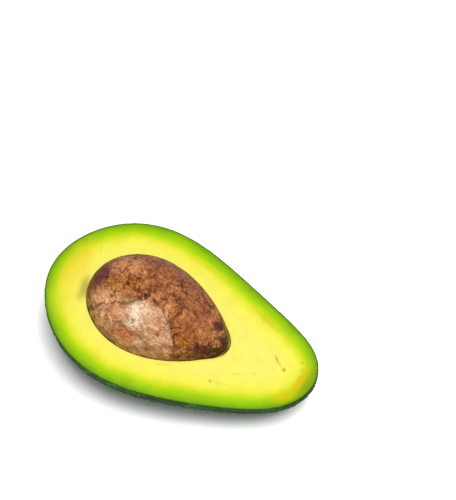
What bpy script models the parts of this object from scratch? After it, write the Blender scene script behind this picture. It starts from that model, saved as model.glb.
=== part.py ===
"""Half an avocado with its stone, lying on its back.

It has four pieces: the thin skin, the flesh that fills it, the stone in the flesh's hollow, and the woody
stem button in a round hole near the stem end. Units are metres and +Z is up. Each piece is modelled on the
cut face: local z = 0 is the cut, +X points to the stem end and -Z to the back. One empty then lays all of
them down on the skin's small flat spot, whose centre is the origin.
"""

import math

import bmesh
import bpy
from mathutils import Matrix, Vector

# The fruit's outer shape. Its outline on the cut face is an ellipse whose width is multiplied by
# 1 + a c + b c^2 + d c^3, where c runs from -1 at the blunt end to 1 at the stem end.
FRUIT_LENGTH = 0.1108
BELLY_WIDTH = 0.0680
BACK_DEPTH = 0.0330
FRUIT_SWELL = (-0.385, 0.047, 0.252)
AXIS_BEND = 0.0012
AXIS_SWEEP = 0.0022
NECK_LEAN = 0.25

# The wall, and the clearance between any two pieces that touch.
SKIN_THICKNESS = 0.0010
CLEARANCE = 0.0003

# How the half lies: the stem end tips down, and the back is pressed flat where it rests.
REST_TILT = math.radians(6.0)
FLAT_SPOT_DEPTH = 0.0005

# The stone, whose widest section lies on the cut face.
STONE_LENGTH = 0.0584
STONE_WIDTH = 0.0389
STONE_SWELL = (-0.22, -0.12, 0.0)
STONE_X = -0.0097
STONE_Y = -0.0001
STONE_TURN = math.radians(1.0)

# The stem button. Its place is an angle from the stem end's tip, on the middle line of the back, and it
# stands square to the skin across the span on either side of that angle.
STEM_ANGLE = 0.62
STEM_SPAN = 0.1
BUTTON_RADIUS = 0.0042
BUTTON_PROUD = 0.0013
BUTTON_SEAT_DEPTH = 0.0020
BUTTON_BEVEL = 0.0006

# Each piece's colour, as linear red, green and blue, and its roughness.
SKIN_FINISH = ((0.030, 0.115, 0.022), 0.42)
FLESH_FINISH = ((0.86, 0.80, 0.16), 0.45)
STONE_FINISH = ((0.30, 0.13, 0.065), 0.55)
STEM_FINISH = ((0.16, 0.075, 0.03), 0.80)

# Facets.
FRUIT_STEPS_ALONG = 40
FRUIT_STEPS_AROUND = 26
STONE_STEPS_ALONG = 24
STONE_STEPS_AROUND = 36
BUTTON_SIDES = 28
BUTTON_BEVEL_STEPS = 3
SHARP_ANGLE = math.radians(40)
SEARCH_STEPS = 2000
MERGE_DISTANCE = 1e-6
CUTTER_LENGTH = 0.02


def clear_scene():
    for obj in list(bpy.data.objects):
        bpy.data.objects.remove(obj, do_unlink=True)


class Ovoid:
    """A body turned about X, from its pole at +X (angle 0) to its pole at -X (angle pi)."""

    def __init__(self, length, width, swell):
        self.half_length = length / 2
        self.swell = swell
        self.girth = 1.0
        angles = [math.pi * i / SEARCH_STEPS for i in range(SEARCH_STEPS + 1)]
        self.girth = width / 2 / max(self.radius(angle) for angle in angles)

    def factor(self, c):
        a, b, d = self.swell
        return 1 + a * c + b * c**2 + d * c**3

    def factor_slope(self, c):
        a, b, d = self.swell
        return a + 2 * b * c + 3 * d * c**2

    def radius(self, angle):
        return self.girth * math.sin(angle) * self.factor(math.cos(angle))

    def point(self, angle):
        """(x, radius) on the outline."""
        return Vector((self.half_length * math.cos(angle), self.radius(angle)))

    def normal(self, angle):
        """The outline's unit outward normal, as (along X, outwards)."""
        c, s = math.cos(angle), math.sin(angle)
        along = -self.half_length * s
        outwards = self.girth * (c * self.factor(c) - s * s * self.factor_slope(c))
        return Vector((outwards, -along)).normalized()

    def profile(self, steps, inset):
        """Points on the outline moved inwards by inset, from pole to pole."""
        points = []
        for i in range(steps + 1):
            angle = math.pi * i / steps
            x, radius = self.point(angle) - inset * self.normal(angle)
            on_axis = i in (0, steps)
            points.append(Vector((x, 0.0 if on_axis else radius, 0.0)))
        return points


def add_turned(bm, profile, turn, steps):
    """Spins a profile about X by turn, and returns the new vertices with the poles closed."""
    before = set(bm.verts)
    verts = [bm.verts.new(point) for point in profile]
    edges = [bm.edges.new(pair) for pair in zip(verts, verts[1:])]
    bmesh.ops.spin(
        bm,
        geom=verts + edges,
        cent=(0, 0, 0),
        axis=(1, 0, 0),
        dvec=(0, 0, 0),
        angle=turn,
        steps=steps,
        use_merge=abs(turn) > math.pi,
        use_duplicate=False,
    )
    added = [v for v in bm.verts if v not in before]
    bmesh.ops.remove_doubles(bm, verts=added, dist=MERGE_DISTANCE)
    return [v for v in bm.verts if v not in before]


def shaped(point, fruit):
    """Takes a point of the round body to the real one: bent sideways, with a deeper back whose stem end
    leans out past the cut face."""
    share = point.x / fruit.half_length
    depth = -point.z * BACK_DEPTH / (BELLY_WIDTH / 2)
    x = point.x + NECK_LEAN * max(share, 0.0) ** 2 * depth
    y = point.y + AXIS_BEND * share**2 + AXIS_SWEEP * share**3
    return Vector((x, y, -depth))


def back_point(angle, fruit):
    """A point on the middle line of the back."""
    x, radius = fruit.point(angle)
    return shaped(Vector((x, 0.0, -radius)), fruit)


def add_half_fruit(bm, fruit, inset):
    """The open half shell of the fruit's outside, moved inwards by inset."""
    profile = fruit.profile(FRUIT_STEPS_ALONG, inset)
    added = add_turned(bm, profile, -math.pi, FRUIT_STEPS_AROUND)
    for v in added:
        v.co = shaped(v.co, fruit)
    return added


def open_edges(verts):
    """The edges along the shell's open rim."""
    return list({e for v in verts for e in v.link_edges if e.is_boundary})


def down_direction():
    """The way down, in the frame of the cut face."""
    return Vector((math.sin(REST_TILT), 0.0, -math.cos(REST_TILT)))


def rest_point(fruit):
    """The centre of the flat spot, in the frame of the cut face."""
    down = down_direction()
    lowest = None
    for i in range(SEARCH_STEPS + 1):
        point = back_point(math.pi * i / SEARCH_STEPS, fruit)
        if lowest is None or point.dot(down) > lowest.dot(down):
            lowest = point
    return lowest - FLAT_SPOT_DEPTH * down


def stem_matrix(fruit):
    """Places the stem button: local +Z is outwards, and the origin is on the skin's outer face."""
    place = back_point(STEM_ANGLE, fruit)
    run = back_point(STEM_ANGLE + STEM_SPAN, fruit) - back_point(STEM_ANGLE - STEM_SPAN, fruit)
    direction = Vector((-run.z, 0.0, run.x)).normalized()
    turn = direction.to_track_quat("Z", "Y").to_matrix().to_4x4()
    return Matrix.Translation(place) @ turn


def material(name, finish):
    colour, roughness = finish
    made = bpy.data.materials.new(name)
    made.use_nodes = True
    shader = made.node_tree.nodes["Principled BSDF"]
    shader.inputs["Base Color"].default_value = (*colour, 1.0)
    shader.inputs["Roughness"].default_value = roughness
    shader.inputs["Metallic"].default_value = 0.0
    return made


def add_object(name, bm, parent, finish=None):
    """Turns a bmesh in the frame of the cut face into an object. Without a finish it is a cutter."""
    bmesh.ops.recalc_face_normals(bm, faces=bm.faces[:])
    mesh = bpy.data.meshes.new(name)
    bm.to_mesh(mesh)
    bm.free()
    obj = bpy.data.objects.new(name, mesh)
    bpy.context.scene.collection.objects.link(obj)
    obj.parent = parent
    if finish:
        mesh.materials.append(material(name, finish))
        mesh.shade_smooth()
        mesh.set_sharp_from_angle(angle=SHARP_ANGLE)
    else:
        obj.hide_render = True
        obj.display_type = "WIRE"
    return obj


def cut(obj, cutter):
    modifier = obj.modifiers.new("cut by " + cutter.name, "BOOLEAN")
    modifier.operation = "DIFFERENCE"
    modifier.solver = "EXACT"
    modifier.object = cutter


def build_skin(fruit, parent):
    """The skin is a thin bowl: an outer half shell, flat where it rests, and an inner one joined by a rim."""
    bm = bmesh.new()
    add_half_fruit(bm, fruit, 0.0)
    flattened = bmesh.ops.bisect_plane(
        bm,
        geom=bm.verts[:] + bm.edges[:] + bm.faces[:],
        dist=MERGE_DISTANCE,
        plane_co=rest_point(fruit),
        plane_no=down_direction(),
        clear_outer=True,
    )
    loop = [e for e in flattened["geom_cut"] if isinstance(e, bmesh.types.BMEdge)]
    bmesh.ops.edgeloop_fill(bm, edges=loop)
    outer_faces = set(bm.faces)
    outer_rim = open_edges(bm.verts)
    inner = add_half_fruit(bm, fruit, SKIN_THICKNESS)
    bmesh.ops.reverse_faces(bm, faces=[f for f in bm.faces if f not in outer_faces])
    bmesh.ops.bridge_loops(bm, edges=outer_rim + open_edges(inner))
    return add_object("skin", bm, parent, SKIN_FINISH)


def build_flesh(fruit, parent):
    """The flesh fills the skin up to the cut face."""
    bm = bmesh.new()
    added = add_half_fruit(bm, fruit, SKIN_THICKNESS + CLEARANCE)
    bmesh.ops.edgeloop_fill(bm, edges=open_edges(added))
    return add_object("flesh", bm, parent, FLESH_FINISH)


def whole_stone(grow):
    """The stone's closed outer shape, grown by grow, in its place on the cut face."""
    stone = Ovoid(STONE_LENGTH, STONE_WIDTH, STONE_SWELL)
    bm = bmesh.new()
    profile = stone.profile(STONE_STEPS_ALONG, -grow)
    add_turned(bm, profile, 2 * math.pi, STONE_STEPS_AROUND)
    place = Matrix.Translation((STONE_X, STONE_Y, 0)) @ Matrix.Rotation(STONE_TURN, 4, "Z")
    bmesh.ops.transform(bm, matrix=place, verts=bm.verts)
    return bm


def build_stone(parent):
    add_object("stone", whole_stone(0.0), parent, STONE_FINISH)


def stem_peg(radius, inner_end, outer_end):
    """A round peg along local Z, between two heights above the skin's outer face."""
    bm = bmesh.new()
    bmesh.ops.create_cone(
        bm,
        cap_ends=True,
        segments=BUTTON_SIDES,
        radius1=radius,
        radius2=radius,
        depth=outer_end - inner_end,
        matrix=Matrix.Translation((0, 0, (outer_end + inner_end) / 2)),
    )
    return bm


def build_stem_button(fruit, parent):
    seat = -(SKIN_THICKNESS + BUTTON_SEAT_DEPTH)
    bm = stem_peg(BUTTON_RADIUS, seat, BUTTON_PROUD)
    button = add_object("stem_button", bm, parent, STEM_FINISH)
    button.matrix_local = stem_matrix(fruit)
    bevel = button.modifiers.new("worn rim", "BEVEL")
    bevel.width = BUTTON_BEVEL
    bevel.segments = BUTTON_BEVEL_STEPS
    bevel.limit_method = "ANGLE"


def build_stem_hole_cutter(fruit, parent):
    bottom = -(SKIN_THICKNESS + BUTTON_SEAT_DEPTH + CLEARANCE)
    bm = stem_peg(BUTTON_RADIUS + CLEARANCE, bottom, CUTTER_LENGTH)
    cutter = add_object("stem_hole_cutter", bm, parent)
    cutter.matrix_local = stem_matrix(fruit)
    return cutter


def lay_down(fruit):
    """The empty that carries every piece, tipped and moved so that the flat spot is at the origin."""
    carrier = bpy.data.objects.new("resting_half", None)
    bpy.context.scene.collection.objects.link(carrier)
    carrier.rotation_euler = (0.0, REST_TILT, 0.0)
    carrier.location = -(Matrix.Rotation(REST_TILT, 3, "Y") @ rest_point(fruit))
    return carrier


def main():
    clear_scene()
    fruit = Ovoid(FRUIT_LENGTH, BELLY_WIDTH, FRUIT_SWELL)
    carrier = lay_down(fruit)
    skin = build_skin(fruit, carrier)
    flesh = build_flesh(fruit, carrier)
    build_stone(carrier)
    build_stem_button(fruit, carrier)
    hollow = add_object("stone_hollow_cutter", whole_stone(CLEARANCE), carrier)
    stem_hole = build_stem_hole_cutter(fruit, carrier)
    cut(flesh, hollow)
    cut(flesh, stem_hole)
    cut(skin, stem_hole)


main()
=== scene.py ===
"""Half an avocado with its stone, lying on its back in soft studio light."""

import math

import bmesh
import bpy
import numpy as np
from mathutils import Matrix, Vector, noise


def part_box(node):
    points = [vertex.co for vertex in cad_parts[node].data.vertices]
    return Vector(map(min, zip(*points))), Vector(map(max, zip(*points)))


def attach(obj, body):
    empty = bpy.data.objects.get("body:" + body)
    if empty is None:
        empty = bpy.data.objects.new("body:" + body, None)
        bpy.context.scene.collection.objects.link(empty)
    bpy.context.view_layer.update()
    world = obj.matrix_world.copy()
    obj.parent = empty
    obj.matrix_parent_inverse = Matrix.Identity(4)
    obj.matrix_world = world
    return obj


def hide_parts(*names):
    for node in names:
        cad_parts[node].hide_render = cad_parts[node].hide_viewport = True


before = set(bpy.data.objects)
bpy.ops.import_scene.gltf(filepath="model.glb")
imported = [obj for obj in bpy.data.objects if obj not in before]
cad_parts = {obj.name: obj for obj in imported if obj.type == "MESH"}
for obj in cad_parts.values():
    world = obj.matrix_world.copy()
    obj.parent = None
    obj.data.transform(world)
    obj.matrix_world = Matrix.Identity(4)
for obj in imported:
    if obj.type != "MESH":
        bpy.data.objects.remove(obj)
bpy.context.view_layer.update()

# ---------------------------------------------------------------------------------------------------
# Skin
#
# The rind of a pebble-skinned avocado: a leathery bowl a millimetre thick, grown onto the flesh. Its
# outside is all waxy pebbles, drawn out along the fruit near the stem, and its rim is the knife's cut.

MM = 0.001
FRUIT_LENGTH = 110.8 * MM
BELLY_WIDTH = 68.0 * MM
BACK_DEPTH = 33.0 * MM
FRUIT_SWELL = (-0.385, 0.047, 0.252)
AXIS_BEND = 1.2 * MM
AXIS_SWEEP = 2.2 * MM
NECK_LEAN = 0.25
SKIN_THICKNESS = 1.0 * MM
REST_TILT = Matrix.Rotation(math.radians(6), 4, "Y")

RIM_STEPS = 330
SKIN_STEPS_AROUND = 240
LINING_STEPS_AROUND = 24
MERGE_DISTANCE = 0.0001 * MM

# An edge where the surface turns by more than this, in radians, stays sharp.
SHARP_ANGLE = 1.0

# The relief is weaker at the cut rim, and reaches its full height a little way down the back.
PEBBLE_SIZE = 1.85 * MM
PEBBLE_HEIGHT = 0.44 * MM
PEBBLE_MEAN = 0.35
GRAIN_SIZE = 0.8 * MM
GRAIN_HEIGHT = 0.10 * MM
RIM_RELIEF = 0.3
RELIEF_FADE = 5 * MM

# Noise starts from this seed, so that the pebbles and the stone's cracks are the same in every run.
NOISE_SEED = 1

# The stem's place on the back is an angle from the neck's pole, in radians. The steps of the outline to
# either side of it give the slope there.
STEM_ANGLE = 0.62
STEM_SPAN = 10
STEM_REACH = 15 * MM
STEM_HOLE_RADIUS = 4.5 * MM
STEM_DIMPLE_RADIUS = 11.0 * MM
STEM_DIMPLE_DEPTH = 0.7 * MM
DIMPLE_FADE = 4 * MM


def smooth_step(low, high, value):
    """0 at low, 1 at high, flat past both and an even S between them."""
    share = min(max((value - low) / (high - low), 0.0), 1.0)
    return share * share * (3 - 2 * share)


def turned_outline(length, width, swell, steps, inset):
    """The outline of a body turned about X, from its +X pole to its -X pole, moved inwards by inset. The
    swell's three terms make an ellipse into a pear."""
    a, b, d = swell
    angles = [math.pi * i / steps for i in range(steps + 1)]

    def girth(angle):
        c = math.cos(angle)
        return math.sin(angle) * (1 + a * c + b * c**2 + d * c**3)

    scale = width / 2 / max(girth(angle) for angle in angles)
    points = []
    for angle in angles:
        c, s = math.cos(angle), math.sin(angle)
        slope = scale * (c * (1 + a * c + b * c**2 + d * c**3) - s * s * (a + 2 * b * c + 3 * d * c**2))
        outward = Vector((slope, length / 2 * s)).normalized()
        x = length / 2 * c - inset * outward.x
        radius = scale * girth(angle) - inset * outward.y
        points.append(Vector((x, radius, 0)))
    points[0].y = points[-1].y = 0
    return points


def wrap_shell(bm, outline, turn, steps):
    """Wraps a flat grid round X onto an outline, closes its poles and returns its vertices."""
    last = len(outline) - 1
    made = bmesh.ops.create_grid(bm, x_segments=last, y_segments=steps, size=0.5)["verts"]
    for v in made:
        point = outline[round((0.5 - v.co.x) * last)]
        around = (v.co.y + 0.5) * turn
        v.co = (point.x, point.y * math.cos(around), point.y * math.sin(around))
    bmesh.ops.remove_doubles(bm, verts=made, dist=MERGE_DISTANCE)
    return [v for v in made if v.is_valid]


def shaped(point):
    """Takes a point of the round body to the real one: bent sideways, with a deeper back whose stem end
    leans out past the cut face."""
    share = point.x / (FRUIT_LENGTH / 2)
    depth = -point.z * BACK_DEPTH / (BELLY_WIDTH / 2)
    x = point.x + NECK_LEAN * max(share, 0) ** 2 * depth
    return Vector((x, point.y + AXIS_BEND * share**2 + AXIS_SWEEP * share**3, -depth))


def half_fruit(bm, steps_around, inset):
    """The open shell of the fruit's back, moved inwards by inset, with the cut face at z = 0."""
    outline = turned_outline(FRUIT_LENGTH, BELLY_WIDTH, FRUIT_SWELL, RIM_STEPS, inset)
    shell = wrap_shell(bm, outline, -math.pi, steps_around)
    for v in shell:
        v.co = shaped(v.co)
    return shell


def open_rim(verts):
    """The edges along the open border of a shell."""
    return list(dict.fromkeys(e for v in verts for e in v.link_edges if e.is_boundary))


def stem_seat():
    """Where the stem leaves the back: a frame with +Z along the stem and its origin on the skin."""
    outline = turned_outline(FRUIT_LENGTH, BELLY_WIDTH, FRUIT_SWELL, RIM_STEPS, 0)
    at = round(STEM_ANGLE / math.pi * RIM_STEPS)
    before, place, after = (
        shaped(Vector((outline[i].x, 0, -outline[i].y))) for i in (at - STEM_SPAN, at, at + STEM_SPAN)
    )
    run = after - before
    out = Vector((-run.z, 0, run.x)).normalized()
    return Matrix.Translation(place) @ out.to_track_quat("Z", "Y").to_matrix().to_4x4()


STEM_SEAT = stem_seat()
TO_STEM = STEM_SEAT.inverted()


def pebbles(place):
    """The relief of the pebbled skin at a place, from 0 in the creases to 1 on the highest pebbles. The
    pebbles are longest near the stem."""
    stretched = Vector((place.x * (0.70 - 2.8 * place.x), place.y, place.z)) / PEBBLE_SIZE
    wander = noise.noise_vector(place / (4 * MM)) * 0.35 + noise.noise_vector(place / (1.3 * MM)) * 0.12
    first, second = noise.voronoi(stretched + wander)[0][:2]
    dome = smooth_step(0.0, 0.62, second - first)
    swell = 0.72 + 0.28 * noise.noise(place / (5 * MM))
    return dome * swell


def sink_dimple(verts):
    """Draws the skin in round the stem, but leaves the cut rim where it is."""
    for v in verts:
        local = TO_STEM @ v.co
        if local.z > -STEM_REACH:
            near = 1 - smooth_step(STEM_HOLE_RADIUS, STEM_DIMPLE_RADIUS, local.xy.length)
            sink = STEM_DIMPLE_DEPTH * near * smooth_step(0, DIMPLE_FADE, -v.co.z)
            v.co -= STEM_SEAT.to_3x3() @ Vector((0, 0, sink))


def cut_stem_hole(bm, shell):
    """Opens a round hole in a shell where the stem goes in, and returns the hole's edges."""
    inside = [v for v in shell if (TO_STEM @ v.co).xy.length < STEM_HOLE_RADIUS]
    ring = {w for v in inside for e in v.link_edges for w in e.verts} - set(inside)
    bmesh.ops.delete(bm, geom=inside, context="VERTS")
    ring = {w for w in ring if w.is_valid}
    for v in ring:
        local = TO_STEM @ v.co
        local.xy = local.xy.normalized() * STEM_HOLE_RADIUS
        v.co = STEM_SEAT @ local
    return [e for e in bm.edges if e.is_boundary and e.verts[0] in ring and e.verts[1] in ring]


noise.seed_set(NOISE_SEED)
bm = bmesh.new()
relief = bm.verts.layers.float.new("relief")
inward = bm.verts.layers.float.new("inward")
outer = half_fruit(bm, SKIN_STEPS_AROUND, 0)
tilted = [REST_TILT @ v.co for v in outer]
highest = Vector([max(corner[i] for corner in tilted) for i in range(3)])
LAID = Matrix.Translation(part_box("skin")[1] - highest) @ REST_TILT

bm.normal_update()
for v in outer:
    height = pebbles(v.co)
    grain = noise.fractal(v.co / GRAIN_SIZE, 1.0, 2.0, 3)
    v[relief] = height
    out = v.normal.copy()
    if abs(v.co.z) < MERGE_DISTANCE:
        out.z = 0
        out.normalize()
    lift = PEBBLE_HEIGHT * (height - PEBBLE_MEAN) + GRAIN_HEIGHT * grain
    below = smooth_step(-0.5 * MM, RELIEF_FADE, -v.co.z)
    v.co += out * lift * (RIM_RELIEF + (1 - RIM_RELIEF) * below)

outer_faces = set(bm.faces)
lining = half_fruit(bm, LINING_STEPS_AROUND, SKIN_THICKNESS)
bmesh.ops.reverse_faces(bm, faces=[f for f in bm.faces if f not in outer_faces])
for v in lining:
    v[inward] = 1
sink_dimple(outer + lining)
bmesh.ops.bridge_loops(bm, edges=open_rim(outer) + open_rim(lining))
hole_edges = cut_stem_hole(bm, outer) + cut_stem_hole(bm, lining)
bmesh.ops.bridge_loops(bm, edges=hole_edges)

bmesh.ops.transform(bm, matrix=LAID, verts=bm.verts)
for v in bm.verts:
    v.co.z = max(v.co.z, 0)


def finish_piece(bm, name, replaced, sharp=()):
    """Makes the finished object: smooth-shaded, riding on the fruit, in place of its plain node."""
    for f in bm.faces:
        f.smooth = True
    for e in sharp:
        e.smooth = False
    mesh = bpy.data.meshes.new(name)
    bm.to_mesh(mesh)
    bm.free()
    piece = bpy.data.objects.new(name, mesh)
    bpy.context.scene.collection.objects.link(piece)
    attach(piece, "root")
    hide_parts(replaced)
    return piece


def linear(code):
    """An sRGB hex colour as linear red, green, blue and alpha."""
    parts = [int(code[i : i + 2], 16) / 255 for i in (1, 3, 5)]
    return [p / 12.92 if p <= 0.04045 else ((p + 0.055) / 1.055) ** 2.4 for p in parts] + [1]


def add(tree, kind, settings=None, inputs=None):
    """Adds a node. Each input is a value or another node's output; a ramp's stops are (place, hex)."""
    node = tree.nodes.new(kind)
    for name, value in (settings or {}).items():
        if name != "stops":
            setattr(node, name, value)
            continue
        ramp = node.color_ramp.elements
        while len(ramp) < len(value):
            ramp.new(1)
        for stop, (place, code) in zip(ramp, value):
            stop.position = place
            stop.color = linear(code)
    for socket, value in (inputs or {}).items():
        if isinstance(value, bpy.types.NodeSocket):
            tree.links.new(value, node.inputs[socket])
        else:
            node.inputs[socket].default_value = value
    return node


def start_material(piece, name):
    """Gives a piece a new material and returns its node tree and its shader."""
    made = bpy.data.materials.new(name)
    made.use_nodes = True
    piece.data.materials.append(made)
    return made.node_tree, made.node_tree.nodes["Principled BSDF"]


in_one_wall = [e for e in bm.edges if round(e.verts[0][inward]) == round(e.verts[1][inward])]
rim_edges = [e for e in in_one_wall if e.calc_face_angle(0) > SHARP_ANGLE]
skin = finish_piece(bm, "skin_rind", "skin", rim_edges)

# Waxed rind: green with painted shade, darker in the creases and brighter on the pebble tops, with pale
# corky flecks. A thin wax gives it small, sharp highlights over a satin body. The cut rim has none, and is
# paler to the inside.
tree, shader = start_material(skin, "waxed avocado rind")
place = add(tree, "ShaderNodeTexCoord").outputs["Object"]
height = add(tree, "ShaderNodeAttribute", {"attribute_name": "relief"}).outputs["Fac"]
through = add(tree, "ShaderNodeAttribute", {"attribute_name": "inward"}).outputs["Fac"]
mottle = add(tree, "ShaderNodeTexNoise", None, {"Vector": place, "Scale": 1 / (9 * MM), "Detail": 3.0})
grain = add(tree, "ShaderNodeTexNoise", None, {"Vector": place, "Scale": 1 / (0.7 * MM), "Detail": 3.0})
height = add(
    tree,
    "ShaderNodeMath",
    {"operation": "MULTIPLY_ADD"},
    {0: grain.outputs["Fac"], 1: 0.5, 2: height},
).outputs[0]
# Painted shade: the green runs from dark in the creases between the pebbles to bright on their tops.
green = add(
    tree,
    "ShaderNodeValToRGB",
    {"stops": [(0.25, "#163a08"), (0.6, "#275f12"), (0.95, "#377819"), (1.0, "#448924")]},
    {"Fac": height},
).outputs["Color"]
shade = add(
    tree,
    "ShaderNodeValToRGB",
    {"stops": [(0.35, "#8fa08a"), (0.65, "#ffffff")]},
    {"Fac": mottle.outputs["Fac"]},
).outputs["Color"]
green = add(
    tree,
    "ShaderNodeMixRGB",
    {"blend_type": "MULTIPLY"},
    {"Fac": 1.0, "Color1": green, "Color2": shade},
).outputs["Color"]
flecks = add(tree, "ShaderNodeTexVoronoi", None, {"Vector": place, "Scale": 1 / (1.7 * MM)})
fleck = add(
    tree,
    "ShaderNodeMapRange",
    None,
    {"Value": flecks.outputs["Distance"], "From Min": 0.10, "From Max": 0.2, "To Min": 0.35, "To Max": 0.0},
).outputs[0]
green = add(
    tree,
    "ShaderNodeMixRGB",
    None,
    {"Fac": fleck, "Color1": green, "Color2": linear("#739150")},
).outputs["Color"]
edge = add(
    tree,
    "ShaderNodeValToRGB",
    {"stops": [(0.0, "#243e0a"), (0.3, "#41640f"), (0.6, "#5e8511"), (1.0, "#6d960f")]},
    {"Fac": through},
).outputs["Color"]
on_rim = add(
    tree,
    "ShaderNodeMapRange",
    None,
    {"Value": through, "From Min": 0.02, "From Max": 0.1},
).outputs[0]
colour = add(tree, "ShaderNodeMixRGB", None, {"Fac": on_rim, "Color1": green, "Color2": edge})
tree.links.new(colour.outputs["Color"], shader.inputs["Base Color"])
wax = add(
    tree,
    "ShaderNodeMapRange",
    None,
    {"Value": through, "From Min": 0.02, "From Max": 0.1, "To Min": 0.09, "To Max": 0.0},
).outputs[0]
tree.links.new(wax, shader.inputs["Coat Weight"])
pores = add(tree, "ShaderNodeTexNoise", None, {"Vector": place, "Scale": 1 / (0.35 * MM), "Detail": 2.0})
bump = add(
    tree,
    "ShaderNodeBump",
    None,
    {"Height": pores.outputs["Fac"], "Strength": 0.35, "Distance": 0.12 * MM},
)
tree.links.new(bump.outputs["Normal"], shader.inputs["Normal"])
shader.inputs["Roughness"].default_value = 0.4
shader.inputs["Specular IOR Level"].default_value = 0.0
shader.inputs["Coat Roughness"].default_value = 0.14
shader.inputs["Coat IOR"].default_value = 2.1

# ---------------------------------------------------------------------------------------------------
# Flesh
#
# The buttery flesh, grown in one piece: yellow round the stone, bright green under the skin. The knife
# left its cut face all but flat, and it keeps the hollow that the stone sits in.

STONE_LENGTH = 58.4 * MM
STONE_WIDTH = 38.9 * MM
STONE_SWELL = (-0.22, -0.12, 0.0)
STONE_PLACE = Matrix.Translation((-9.7 * MM, -0.1 * MM, 0)) @ Matrix.Rotation(math.radians(1), 4, "Z")
HOLLOW_GAP = 0.25 * MM
SKIN_FIT = 0.02 * MM
FLESH_STEPS_AROUND = 90
HOLLOW_STEPS_AROUND = 40
FACE_RINGS = 36
STEM_POCKET_DEPTH = 3.3 * MM
DISTANCE_PARTS = 20

# The stone has shrunk from the flesh at its tip, between these distances from its middle, and a little
# more on one side.
TIP_GAP = 0.9 * MM
TIP_START = 22 * MM
TIP_END = 29 * MM
TIP_SIDE = 0.3

# The face waves a little between its borders, and its lip drops towards the stone.
KNIFE_WAVE = 0.16 * MM
KNIFE_WAVE_LENGTH = 11 * MM
RIM_FADE = 3 * MM
STONE_FADE = 2 * MM
LIP_DROP = 0.25 * MM
LIP_WIDTH = 0.8 * MM

# Two values for the colours, both in millimetres: a place on the cut face, and its depth under the skin.
# The hollow is coloured as the deep flesh is.
HOLLOW_DEPTH = 14

bm = bmesh.new()
lay = bm.verts.layers.float_vector.new("lay")
depth = bm.verts.layers.float.new("depth")
body = half_fruit(bm, FLESH_STEPS_AROUND, SKIN_THICKNESS + SKIN_FIT)
sink_dimple(body)
body_rim = open_rim(body)
stem_edges = cut_stem_hole(bm, body)
deeper = bmesh.ops.extrude_edge_only(bm, edges=stem_edges)["geom"]
for v in (g for g in deeper if isinstance(g, bmesh.types.BMVert)):
    local = TO_STEM @ v.co
    local.z = -STEM_POCKET_DEPTH
    v.co = STEM_SEAT @ local
bmesh.ops.edgeloop_fill(bm, edges=[g for g in deeper if isinstance(g, bmesh.types.BMEdge)])

hollow_outline = turned_outline(STONE_LENGTH, STONE_WIDTH, STONE_SWELL, RIM_STEPS, -HOLLOW_GAP)
body_faces = set(bm.faces)
hollow = wrap_shell(bm, hollow_outline, -math.pi, HOLLOW_STEPS_AROUND)
for v in hollow:
    past = smooth_step(TIP_START, TIP_END, v.co.x)
    v.co.x += TIP_GAP * past
    v.co.y -= TIP_SIDE * TIP_GAP * past
bmesh.ops.transform(bm, matrix=STONE_PLACE, verts=hollow)
bmesh.ops.reverse_faces(bm, faces=[f for f in bm.faces if f not in body_faces])
hollow_rim = open_rim(hollow)
fruit_rim = np.array([v.co for v in {v for e in body_rim for v in e.verts}])
stone_rim = np.array([v.co for v in {v for e in hollow_rim for v in e.verts}])
for v in hollow:
    v[depth] = HOLLOW_DEPTH
made = bmesh.ops.bridge_loops(bm, edges=body_rim + hollow_rim)
spokes = [e for e in made["edges"] if abs(e.verts[0][depth] - e.verts[1][depth]) > 1]
bmesh.ops.subdivide_edges(bm, edges=spokes, cuts=FACE_RINGS, use_grid_fill=True)


def nearest(places, line):
    """How far each place is from the closest point of a line of points. The places are taken in parts, to
    save memory."""
    return np.concatenate([
        np.linalg.norm(some[:, None, :2] - line[None, :, :2], axis=2).min(axis=1)
        for some in np.array_split(places, DISTANCE_PARTS)
    ])


for v in bm.verts:
    v[lay] = v.co / MM
on_face = [v for v in bm.verts if abs(v.co.z) < MERGE_DISTANCE]
places = np.array([v.co for v in on_face])
for v, from_rim, from_stone in zip(on_face, nearest(places, fruit_rim), nearest(places, stone_rim)):
    v[depth] = (from_rim + SKIN_THICKNESS) / MM
    inland = smooth_step(0, RIM_FADE, from_rim) * smooth_step(0, STONE_FADE, from_stone)
    v.co.z += KNIFE_WAVE * inland * noise.noise(v.co / KNIFE_WAVE_LENGTH)
    v.co.z -= LIP_DROP * (1 - smooth_step(0, LIP_WIDTH, from_stone))

bmesh.ops.transform(bm, matrix=LAID, verts=bm.verts)
sharp = [e for e in bm.edges if e.calc_face_angle(0) > SHARP_ANGLE]
flesh = finish_piece(bm, "flesh_half", "flesh", sharp)


def paint(tree, under, lay, patches):
    """Paints soft-edged ovals over a colour. Each is (x, y, half length, half width, turn in degrees,
    softness, strength, colour), in millimetres on the cut face."""
    for x, y, half_length, half_width, turn, softness, strength, code in patches:
        oval = add(
            tree,
            "ShaderNodeMapping",
            {"vector_type": "TEXTURE"},
            {
                "Vector": lay,
                "Location": (x, y, 0),
                "Rotation": (0, 0, math.radians(turn)),
                "Scale": (half_length, half_width, 10000),
            },
        )
        distance = add(tree, "ShaderNodeVectorMath", {"operation": "LENGTH"}, {0: oval.outputs[0]})
        mask = add(
            tree,
            "ShaderNodeMapRange",
            {"interpolation_type": "SMOOTHSTEP"},
            {
                "Value": distance.outputs["Value"],
                "From Min": 1 - softness,
                "From Max": 1 + softness,
                "To Min": strength,
                "To Max": 0.0,
            },
        )
        under = add(
            tree,
            "ShaderNodeMixRGB",
            None,
            {"Fac": mask.outputs[0], "Color1": under, "Color2": linear(code)},
        ).outputs["Color"]
    return under


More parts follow.
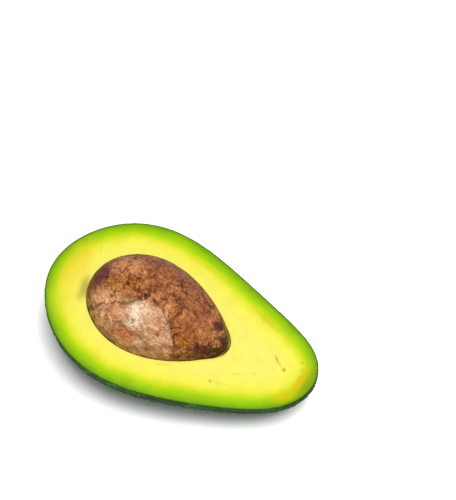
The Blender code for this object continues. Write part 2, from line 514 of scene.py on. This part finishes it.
def wobbled(tree, lay, size, amount):
    """The place on the cut face, pushed about by noise of a size, so that painted edges are ragged."""
    cloud = add(tree, "ShaderNodeTexNoise", None, {"Vector": lay, "Scale": 1 / size, "Detail": 4.0})
    centred = add(
        tree,
        "ShaderNodeVectorMath",
        {"operation": "SUBTRACT"},
        {0: cloud.outputs["Color"], 1: (0.5, 0.5, 0.5)},
    )
    return add(
        tree,
        "ShaderNodeVectorMath",
        {"operation": "MULTIPLY_ADD"},
        {0: centred.outputs[0], 1: (amount, amount, amount), 2: lay},
    ).outputs[0]


# Ripe flesh: the ring's colours follow the depth under the skin. It is soft and oily, so light goes a
# little way in and the cut has a dull satin look.
tree, shader = start_material(flesh, "ripe avocado flesh")
face = add(tree, "ShaderNodeAttribute", {"attribute_name": "lay"}).outputs["Vector"]
under_skin = add(tree, "ShaderNodeAttribute", {"attribute_name": "depth"}).outputs["Fac"]
drift = add(tree, "ShaderNodeTexNoise", None, {"Vector": face, "Scale": 1 / 14, "Detail": 3.0})
shifted = add(
    tree,
    "ShaderNodeMath",
    {"operation": "MULTIPLY_ADD"},
    {0: drift.outputs["Fac"], 1: 2.4, 2: under_skin},
).outputs[0]
share = add(
    tree,
    "ShaderNodeMapRange",
    None,
    {"Value": shifted, "From Min": 1.2, "From Max": 15.2},
).outputs[0]
ring = add(
    tree,
    "ShaderNodeValToRGB",
    {
        "stops": [
            (0.03, "#658b0a"),
            (0.09, "#7caa04"),
            (0.16, "#8cbb00"),
            (0.26, "#9dc900"),
            (0.34, "#b7d30a"),
            (0.42, "#ceda25"),
            (0.50, "#dfdf3b"),
            (0.60, "#e8e44e"),
            (0.75, "#ece658"),
            (1.00, "#ede668"),
        ]
    },
    {"Fac": share},
).outputs["Color"]
FLESH_MARKS = [
    (-47.0, 4.0, 4.0, 9.0, 0, 0.9, 0.55, "#e5c62e"),
    (-44.0, -8.0, 6.0, 10.0, 0, 0.9, 0.35, "#e8ce3f"),
    (55.0, 2.5, 4.2, 9.0, -8, 0.6, 0.5, "#978a04"),
    (50.0, 0.5, 1.3, 6.5, -8, 0.7, 0.8, "#d6b803"),
    (47.0, -7.5, 3.8, 1.8, 45, 0.9, 0.6, "#dcb400"),
    (28.0, 17.6, 6.0, 1.1, -16, 0.7, 0.6, "#ccc317"),
    (0.0, 26.0, 9.0, 0.9, -6, 0.8, 0.4, "#cfcd21"),
    (-39.8, -5.0, 1.7, 4.5, 12, 0.8, 0.6, "#95812a"),
    # Painted shadow: the next two dark marks lie in the gap where the stone's tip has shrunk from the
    # flesh.
    (19.7, -0.8, 0.7, 2.8, 0, 0.5, 0.7, "#5a3c14"),
    (18.2, -4.4, 2.4, 0.6, 55, 0.5, 0.6, "#5a3c14"),
    (42.6, 2.4, 0.7, 0.9, 20, 0.6, 0.7, "#9e991a"),
    (38.6, 5.0, 1.4, 0.45, -40, 0.7, 0.75, "#c1a918"),
    (40.6, 3.6, 1.2, 0.35, -45, 0.7, 0.45, "#beb02e"),
    (39.3, 0.6, 0.8, 0.4, 0, 0.7, 0.3, "#beb23c"),
    (33.4, -4.6, 0.9, 0.5, 20, 0.7, 0.35, "#b9b53c"),
    (28.0, -7.4, 1.6, 0.5, 25, 0.7, 0.3, "#c3bf45"),
    (20.2, -15.0, 0.7, 0.6, 0, 0.6, 0.6, "#a0a625"),
    (24.0, -14.0, 3.0, 0.35, 14, 0.7, 0.3, "#bdbd3c"),
    (1.5, -18.0, 2.6, 0.5, 25, 0.7, 0.35, "#b7b53f"),
    (47.6, 8.6, 0.5, 0.5, 0, 0.6, 0.6, "#aaa40e"),
    (48.8, 5.6, 0.45, 0.6, 0, 0.6, 0.5, "#ada40d"),
    (-42.0, 12.0, 0.25, 1.3, 20, 0.7, 0.4, "#beae2e"),
    (-45.2, 14.2, 0.2, 1.2, 10, 0.7, 0.4, "#9fb525"),
]
marked = paint(tree, ring, wobbled(tree, face, 2.0, 1.2), FLESH_MARKS)
cloud = add(tree, "ShaderNodeTexNoise", None, {"Vector": face, "Scale": 1 / 5, "Detail": 5.0})
cloudy = add(
    tree,
    "ShaderNodeValToRGB",
    {"stops": [(0.3, "#d8d7d5"), (0.7, "#e0e0e0")]},
    {"Fac": cloud.outputs["Fac"]},
)
colour = add(
    tree,
    "ShaderNodeMixRGB",
    {"blend_type": "MULTIPLY"},
    {"Fac": 1.0, "Color1": marked, "Color2": cloudy.outputs["Color"]},
)
tree.links.new(colour.outputs["Color"], shader.inputs["Base Color"])
fibres = add(tree, "ShaderNodeTexNoise", None, {"Vector": face, "Scale": 1 / 0.9, "Detail": 3.0})
bump = add(
    tree,
    "ShaderNodeBump",
    None,
    {"Height": fibres.outputs["Fac"], "Strength": 0.15, "Distance": 0.1 * MM},
)
tree.links.new(bump.outputs["Normal"], shader.inputs["Normal"])
shader.inputs["Roughness"].default_value = 0.5
shader.inputs["Specular IOR Level"].default_value = 0.06
shader.inputs["Subsurface Weight"].default_value = 0.08
shader.inputs["Subsurface Radius"].default_value = (1.0, 0.8, 0.3)
shader.inputs["Subsurface Scale"].default_value = 1.5 * MM

# ---------------------------------------------------------------------------------------------------
# Stone
#
# The seed in its papery brown coat. The coat is wrinkled and veined, cracked across the blunt end, and
# a piece has flaked off low on one side, where the paler seed shows.

STONE_RIM_STEPS = 220
STONE_STEPS_AROUND = 340
CRACK_DEPTH = 0.28 * MM
FLAKE_DEPTH = 0.12 * MM

# Wrinkles run along the stone and wander. Sizes are in millimetres, and a ridge's own height runs from
# its low value over its span.
WRINKLE_HEIGHT = 0.30 * MM
WRINKLE_MEAN = 0.7
WRINKLE_SIZE = 3.4
WRINKLE_STRETCH = 1.7
WANDER_SIZE = 3.0
WANDER = 1.3
RIDGE_LOW = 0.9
RIDGE_SPAN = 1.6

# Cracks in the coat: how deep each is, and its line of points in millimetres on the cut face.
CRACK_WIDTH = 0.45
CRACK_SPREAD = 0.35
CRACKS = [
    (1.0, [(-34.5, -12.0), (-31.0, -13.0), (-28.5, -11.4), (-26.0, -11.6), (-24.0, -10.2), (-20.5, -9.4)]),
    (0.8, [(-20.5, -9.4), (-18.0, -8.2), (-16.3, -6.2), (-14.8, -4.4)]),
    (0.9, [(-8.5, -4.2), (-4.8, -6.4), (-1.6, -8.2), (0.2, -10.2), (1.6, -11.6), (3.8, -12.6)]),
    (0.5, [(-12.8, 2.4), (-8.6, 1.7), (-5.2, 2.1), (-2.2, 1.1), (1.8, 0.6), (6.5, 0.3)]),
    (0.4, [(-11.4, 5.2), (-15.0, 5.4), (-18.2, 6.6), (-21.5, 8.2)]),
    (0.5, [(-12.4, 5.6), (-9.4, 8.4), (-7.0, 10.6)]),
    (0.5, [(-6.2, 6.6), (-3.2, 8.0), (0.2, 10.8)]),
    (0.6, [(5.6, -3.6), (4.6, -6.0), (3.2, -8.2), (2.6, -10.2)]),
    (0.5, [(-19.5, -15.6), (-14.0, -16.6), (-9.0, -16.2)]),
    (0.5, [(-14.4, 1.4), (-14.0, -1.2), (-13.2, -3.2)]),
    (0.5, [(2.0, 4.0), (6.5, 5.6), (10.5, 5.2)]),
    (0.4, [(-29.5, 3.0), (-26.0, 0.6), (-22.5, -0.4), (-19.0, -2.8)]),
]

# The flaked patch: its edge towards the tip, and its top, which falls away towards the blunt end.
FLAKE_EDGE = [(-18.0, 5.0), (-4.0, -5.2), (-1.6, -8.2), (0.2, -10.2), (1.6, -11.6), (4.5, -19.0)]
FLAKE_TOP = -5.2
FLAKE_FALL = 0.28
FLAKE_FALL_START = -12


def line_distance(place, line):
    """How far a place is, seen from above, from a line through some points."""
    best = 1000.0
    for start, end in zip(line, line[1:]):
        run = Vector(end) - Vector(start)
        share = min(max((place - Vector(start)).dot(run) / run.length_squared, 0), 1)
        best = min(best, (place - Vector(start) - share * run).length)
    return best


def cracked(spot):
    """1 in a crack of the coat, 0 away from it. The cracks wander and vary in width."""
    if spot.z < 0:
        return 0
    place = (spot + noise.noise_vector(spot / 1.6) * 0.8 + noise.noise_vector(spot / 0.6) * 0.25).xy
    width = CRACK_WIDTH + CRACK_SPREAD * noise.noise(spot / 2.5)
    return max(
        depth * (1 - smooth_step(0.3 * width, 1.3 * width, line_distance(place, line)))
        for depth, line in CRACKS
    )


def flaked(spot):
    """1 where the coat has flaked off: a clean edge towards the tip, and worn away at the other end."""
    if spot.z < 0:
        return 0
    place = spot + noise.noise_vector(spot / 2.2) * 0.9 + noise.noise_vector(spot / 0.7) * 0.35
    limit = 1000.0
    for (x0, y0), (x1, y1) in zip(FLAKE_EDGE, FLAKE_EDGE[1:]):
        if y1 <= place.y <= y0:
            limit = x0 + (x1 - x0) * (place.y - y0) / (y1 - y0)
    top = FLAKE_TOP - FLAKE_FALL * max(0, FLAKE_FALL_START - place.x)
    low = 1 - smooth_step(top - 1.2, top + 1.2, place.y)
    return low * (1 - smooth_step(limit - 0.5, limit + 0.3, place.x)) * smooth_step(-27, -16, place.x)


bm = bmesh.new()
lay = bm.verts.layers.float_vector.new("lay")
wrinkles = bm.verts.layers.float.new("wrinkles")
cracks = bm.verts.layers.float.new("cracks")
flake = bm.verts.layers.float.new("flake")
outline = turned_outline(STONE_LENGTH, STONE_WIDTH, STONE_SWELL, STONE_RIM_STEPS, 0)
wrap_shell(bm, outline, -2 * math.pi, STONE_STEPS_AROUND)
bmesh.ops.transform(bm, matrix=STONE_PLACE, verts=bm.verts)
bm.normal_update()
for v in bm.verts:
    spot = v.co / MM
    drawn = Vector((spot.x / WRINKLE_STRETCH, spot.y, spot.z))
    warped = drawn + noise.noise_vector(drawn / WANDER_SIZE) * WANDER
    ridges = noise.ridged_multi_fractal(warped / WRINKLE_SIZE, 0.9, 2.1, 5, 1.0, 2.0)
    v[lay] = spot
    v[flake] = flaked(spot)
    v[cracks] = cracked(spot)
    v[wrinkles] = 1 - min(max((ridges - RIDGE_LOW) / RIDGE_SPAN, 0), 1)
    rough = (v[wrinkles] - WRINKLE_MEAN) * (1 - 0.5 * v[flake])
    v.co += v.normal * (WRINKLE_HEIGHT * rough - CRACK_DEPTH * v[cracks] - FLAKE_DEPTH * v[flake])
bmesh.ops.transform(bm, matrix=LAID, verts=bm.verts)
stone = finish_piece(bm, "stone_seed", "stone")

# Dry seed coat: like thin, rubbed bark, reddish brown with golden and maroon blotches under a net of darker
# creases, and a dull sheen where it is smooth. Painted shade darkens the grooves between its wrinkles, part
# of its upper side, and its tip where it stands off the flesh. The bare seed in the flaked patch is paler,
# with a painted highlight on it.
tree, shader = start_material(stone, "dry papery seed coat")
face = add(tree, "ShaderNodeAttribute", {"attribute_name": "lay"}).outputs["Vector"]
ridge = add(tree, "ShaderNodeAttribute", {"attribute_name": "wrinkles"}).outputs["Fac"]
crack = add(tree, "ShaderNodeAttribute", {"attribute_name": "cracks"}).outputs["Fac"]
bare = add(tree, "ShaderNodeAttribute", {"attribute_name": "flake"}).outputs["Fac"]
blotches = add(
    tree,
    "ShaderNodeTexNoise",
    None,
    {"Vector": face, "Scale": 1 / 3.2, "Detail": 7.0, "Roughness": 0.66, "Distortion": 0.6},
).outputs["Fac"]
coat = add(
    tree,
    "ShaderNodeValToRGB",
    {
        "stops": [
            (0.30, "#754220"),
            (0.43, "#985c35"),
            (0.54, "#ac7242"),
            (0.64, "#c48952"),
            (0.76, "#c99d65"),
        ]
    },
    {"Fac": blotches},
).outputs["Color"]
ragged_face = wobbled(tree, face, 3.0, 4.0)
COAT_PATCHES = [
    # The first two darken the coat's upper side: partly its own rose-brown, partly painted shade.
    (-15.0, 11.5, 15.0, 4.5, 0, 0.6, 0.75, "#935637"),
    (1.0, 7.5, 11.0, 6.5, -20, 0.7, 0.65, "#9d623a"),
    (-26.5, 5.0, 6.0, 4.5, 10, 0.7, 0.65, "#db9e6a"),
    (-20.0, -2.0, 8.0, 3.0, 0, 0.8, 0.55, "#ab6d2c"),
    (-28.0, -5.8, 4.2, 2.6, 15, 0.7, 0.75, "#c69343"),
    (-25.0, -8.2, 3.2, 1.8, 0, 0.7, 0.7, "#c99963"),
    (-27.5, -12.5, 8.0, 4.6, -25, 0.7, 0.8, "#edb587"),
    (-34.6, -1.5, 3.2, 5.6, -12, 0.5, 0.95, "#6e2c34"),
    (3.5, -7.5, 5.5, 3.6, 0, 0.6, 0.65, "#9f5b21"),
    (7.5, -9.6, 3.5, 1.4, 20, 0.7, 0.6, "#b46c21"),
    (14.5, -1.2, 2.4, 1.8, 0, 0.7, 0.5, "#c09058"),
    (13.8, 3.0, 1.9, 2.2, 0, 0.4, 0.9, "#46161f"),
    (6.4, 8.0, 2.0, 0.9, -15, 0.5, 0.7, "#7d2b2c"),
    (11.6, -8.2, 3.0, 1.4, 35, 0.5, 0.9, "#571821"),
    # Painted shadow: a dark line along the tip's lower side, where the stone stands off the flesh.
    (15.4, -5.4, 2.6, 1.0, 40, 0.6, 0.85, "#38120c"),
    (-13.4, -3.4, 1.2, 1.1, -30, 0.5, 0.9, "#301407"),
    # Painted shadow: the dark tip, where the stone has shrunk from the flesh.
    (18.6, -1.5, 1.5, 4.0, 0, 0.6, 0.8, "#301005"),
]
coat = paint(tree, coat, ragged_face, COAT_PATCHES)

# Two nets of creases, a coarse and a fine one: the size of the meshes in millimetres, the width of the
# creases as a share of it, and their tint. Noise leaves stretches of each net out.
creases = []
for size, width, shade in ((6.2, 0.09, "#7c4c38"), (2.9, 0.10, "#b08572")):
    bent = wobbled(tree, wobbled(tree, face, 0.45 * size, 1.1 * size), 1.1, 1.3)
    cells = add(
        tree,
        "ShaderNodeTexVoronoi",
        {"feature": "DISTANCE_TO_EDGE"},
        {"Vector": bent, "Scale": 1 / size},
    ).outputs["Distance"]
    line = add(
        tree,
        "ShaderNodeMapRange",
        None,
        {"Value": cells, "From Max": width, "To Min": 1.0, "To Max": 0.0},
    ).outputs[0]
    open_part = add(tree, "ShaderNodeTexNoise", None, {"Vector": bent, "Scale": 0.8 / size}).outputs["Fac"]
    open_part = add(
        tree,
        "ShaderNodeMapRange",
        None,
        {"Value": open_part, "From Min": 0.38, "From Max": 0.58},
    ).outputs[0]
    line = add(tree, "ShaderNodeMath", {"operation": "MULTIPLY"}, {0: line, 1: open_part}).outputs[0]
    creases.append(line)
    coat = add(
        tree,
        "ShaderNodeMixRGB",
        {"blend_type": "MULTIPLY"},
        {"Fac": line, "Color1": coat, "Color2": linear(shade)},
    ).outputs["Color"]
seed = add(
    tree,
    "ShaderNodeValToRGB",
    {"stops": [(0.32, "#9f5c3a"), (0.44, "#b37d59"), (0.56, "#cea077"), (0.68, "#e4c399")]},
    {"Fac": blotches},
).outputs["Color"]
SEED_PATCHES = [
    # The first is partly the bare seed's own pale colour and partly a painted highlight.
    (-14.5, -11.0, 3.8, 4.0, 10, 0.8, 0.85, "#f0dfbf"),
    (-5.5, -8.4, 4.6, 2.8, -15, 0.7, 0.55, "#bb8b6a"),
    (-14.6, -13.2, 0.9, 0.5, 20, 0.7, 0.65, "#845d40"),
    (-17.2, -12.9, 0.6, 0.4, 20, 0.7, 0.6, "#916443"),
    (-16.0, -17.4, 4.0, 1.5, 0, 0.6, 0.55, "#d26d3c"),
    (-22.0, -14.0, 4.0, 3.0, 0, 0.9, 0.5, "#c9865c"),
]
seed = paint(tree, seed, ragged_face, SEED_PATCHES)
colour = add(tree, "ShaderNodeMixRGB", None, {"Fac": bare, "Color1": coat, "Color2": seed}).outputs["Color"]
# Painted shade: the coat is darker in the grooves between the wrinkles and lighter on their ridges.
painted_groove_shade = add(
    tree,
    "ShaderNodeValToRGB",
    {"stops": [(0.0, "#8a5a48"), (0.35, "#c09c8c"), (0.75, "#ffffff")]},
    {"Fac": ridge},
).outputs["Color"]
grain = add(
    tree,
    "ShaderNodeTexNoise",
    None,
    {"Vector": face, "Scale": 1 / 0.9, "Detail": 4.0, "Roughness": 0.75},
)
speckle = add(
    tree,
    "ShaderNodeValToRGB",
    {"stops": [(0.36, "#84695c"), (0.5, "#e4d8d0"), (0.62, "#ffffff")]},
    {"Fac": grain.outputs["Fac"]},
).outputs["Color"]
for shade, share in ((painted_groove_shade, 0.7), (speckle, 0.7)):
    colour = add(
        tree,
        "ShaderNodeMixRGB",
        {"blend_type": "MULTIPLY"},
        {"Fac": share, "Color1": colour, "Color2": shade},
    ).outputs["Color"]
in_crack = add(
    tree,
    "ShaderNodeMath",
    {"operation": "MULTIPLY"},
    {0: crack, 1: 0.75},
).outputs[0]
colour = add(
    tree,
    "ShaderNodeMixRGB",
    None,
    {"Fac": in_crack, "Color1": colour, "Color2": linear("#3e1a0d")},
).outputs["Color"]
tree.links.new(colour, shader.inputs["Base Color"])
relief = add(
    tree,
    "ShaderNodeTexNoise",
    None,
    {"Vector": face, "Scale": 1 / 0.9, "Detail": 5.0},
).outputs["Fac"]
for line in creases:
    relief = add(
        tree,
        "ShaderNodeMath",
        {"operation": "MULTIPLY_ADD"},
        {0: line, 1: -0.7, 2: relief},
    ).outputs[0]
bump = add(
    tree,
    "ShaderNodeBump",
    None,
    {"Height": relief, "Strength": 0.8, "Distance": 0.35 * MM},
)
tree.links.new(bump.outputs["Normal"], shader.inputs["Normal"])
shader.inputs["Roughness"].default_value = 0.5
shader.inputs["Specular IOR Level"].default_value = 0.25
shader.inputs["Specular Tint"].default_value = (0.95, 0.75, 0.6, 1)

# ---------------------------------------------------------------------------------------------------
# Stem button
#
# The woody stub where the stalk broke off: a round plug in its hole in the skin, with a torn, fibrous
# top and a ragged rim. It grew there; nothing else holds it.

BUTTON_RADIUS = 4.2 * MM
BUTTON_PROUD = 0.35 * MM
BUTTON_DEPTH = 3.0 * MM
BUTTON_RINGS = 22
BUTTON_SIDE_STEPS = 14
BUTTON_SIDES = 120
FRAY_HEIGHT = 0.3 * MM
TOP_SINK = 0.5 * MM
SPLINTER_SIZE = 0.9 * MM
SPLINTER_HEIGHT = 0.25 * MM
EDGE_WEAR = 0.45 * MM

bm = bmesh.new()
side = [
    Vector((-BUTTON_DEPTH + (BUTTON_DEPTH + BUTTON_PROUD) * i / BUTTON_SIDE_STEPS, BUTTON_RADIUS, 0))
    for i in range(BUTTON_SIDE_STEPS + 1)
]
top = [
    Vector((BUTTON_PROUD, BUTTON_RADIUS * (1 - i / BUTTON_RINGS), 0)) for i in range(1, BUTTON_RINGS + 1)
]
profile = [Vector((-BUTTON_DEPTH, 0, 0))] + side + top
wrap_shell(bm, profile, -2 * math.pi, BUTTON_SIDES)
bmesh.ops.recalc_face_normals(bm, faces=bm.faces)
for v in bm.verts:
    around = math.atan2(v.co.z, v.co.y)
    radius = math.hypot(v.co.y, v.co.z)
    out = radius / BUTTON_RADIUS
    spoke = Vector((3 * math.cos(around), 3 * math.sin(around), 0))
    fray = noise.noise(spoke * 2.2) + 0.5 * noise.noise(spoke * 6)
    above = smooth_step(-0.2 * MM, BUTTON_PROUD, v.co.x)
    v.co.x += above * (FRAY_HEIGHT * fray * out**2 - TOP_SINK * smooth_step(0.9, 0.2, out))
    v.co.x += above * SPLINTER_HEIGHT * noise.noise(v.co / SPLINTER_SIZE)
    v.co.x -= EDGE_WEAR * above * smooth_step(0.86, 1.0, out)
    grow = 1 + above * (0.03 + 0.03 * fray)
    v.co.y *= grow
    v.co.z *= grow
bmesh.ops.transform(bm, matrix=LAID @ STEM_SEAT @ Matrix.Rotation(-math.pi / 2, 4, "Y"), verts=bm.verts)
button = finish_piece(bm, "stem_stub", "stem_button")

# Torn green wood, dried: rough, matt fibres from dark to pale brown.
tree, shader = start_material(button, "dried torn stalk")
place = add(tree, "ShaderNodeTexCoord").outputs["Object"]
grain = add(tree, "ShaderNodeTexNoise", None, {"Vector": place, "Scale": 1 / (0.9 * MM), "Detail": 6.0})
wood = add(
    tree,
    "ShaderNodeValToRGB",
    {"stops": [(0.3, "#33200f"), (0.5, "#6d4a2c"), (0.7, "#a38052")]},
    {"Fac": grain.outputs["Fac"]},
)
tree.links.new(wood.outputs["Color"], shader.inputs["Base Color"])
bump = add(
    tree,
    "ShaderNodeBump",
    None,
    {"Height": grain.outputs["Fac"], "Strength": 0.6, "Distance": 0.2 * MM},
)
tree.links.new(bump.outputs["Normal"], shader.inputs["Normal"])
shader.inputs["Roughness"].default_value = 0.8

# ---------------------------------------------------------------------------------------------------
# Floor, light and camera
#
# A white paper sweep in a dim, pale room. One softbox hangs high above the fruit, a little to the right
# and to the front, and a long lens looks down on the cut face.

FLOOR_SIZE = 6
ROOM_LIGHT = 0.6
SOFTBOX_SIZE = 0.4
SOFTBOX_POWER = 14.5
SOFTBOX_OFFSET = Vector((0.2, -0.1, 1.0))
FOCAL_LENGTH = 100
CAMERA_TURN = math.radians(26.9)
CAMERA_TILT = math.radians(62)
CAMERA_DISTANCE = 531.3 * MM
ASIDE = 17.8 * MM
ABOVE = 28.4 * MM

bm = bmesh.new()
bmesh.ops.create_grid(bm, x_segments=1, y_segments=1, size=FLOOR_SIZE)
mesh = bpy.data.meshes.new("floor")
bm.to_mesh(mesh)
bm.free()
floor = bpy.data.objects.new("floor", mesh)
bpy.context.scene.collection.objects.link(floor)
tree, shader = start_material(floor, "white paper sweep")
shader.inputs["Base Color"].default_value = (0.97, 0.97, 0.97, 1)
shader.inputs["Roughness"].default_value = 0.9
shader.inputs["Specular IOR Level"].default_value = 0.0

world = bpy.data.worlds.new("studio")
world.use_nodes = True
sky = world.node_tree.nodes["Background"]
heading = add(world.node_tree, "ShaderNodeTexCoord").outputs["Generated"]
height = add(world.node_tree, "ShaderNodeSeparateXYZ", None, {"Vector": heading}).outputs["Z"]
walls = add(
    world.node_tree,
    "ShaderNodeValToRGB",
    {"stops": [(0.0, "#3c3c3c"), (0.35, "#949494"), (1.0, "#e8e8e8")]},
    {"Fac": height},
)
world.node_tree.links.new(walls.outputs["Color"], sky.inputs["Color"])
sky.inputs["Strength"].default_value = ROOM_LIGHT
bpy.context.scene.world = world

away = Vector((
    math.sin(CAMERA_TURN) * math.cos(CAMERA_TILT),
    -math.cos(CAMERA_TURN) * math.cos(CAMERA_TILT),
    math.sin(CAMERA_TILT),
))
right = Vector((math.cos(CAMERA_TURN), math.sin(CAMERA_TURN), 0))
up = away.cross(right)
cut_centre = LAID.translation
aim = cut_centre + ASIDE * right + ABOVE * up


def point_at(obj, place, target):
    """Puts a lamp or a camera in its place, facing a target."""
    obj.location = place
    obj.rotation_euler = (target - place).to_track_quat("-Z", "Y").to_euler()


lamp = bpy.data.lights.new("softbox", "AREA")
lamp.size = SOFTBOX_SIZE
lamp.energy = SOFTBOX_POWER
softbox = bpy.data.objects.new("softbox", lamp)
bpy.context.scene.collection.objects.link(softbox)
point_at(softbox, cut_centre + SOFTBOX_OFFSET, cut_centre)

lens = bpy.data.cameras.new("camera")
lens.lens = FOCAL_LENGTH
camera = bpy.data.objects.new("camera", lens)
bpy.context.scene.collection.objects.link(camera)
point_at(camera, aim + CAMERA_DISTANCE * away, aim)
bpy.context.scene.camera = camera
bpy.context.scene.view_settings.view_transform = "Standard"
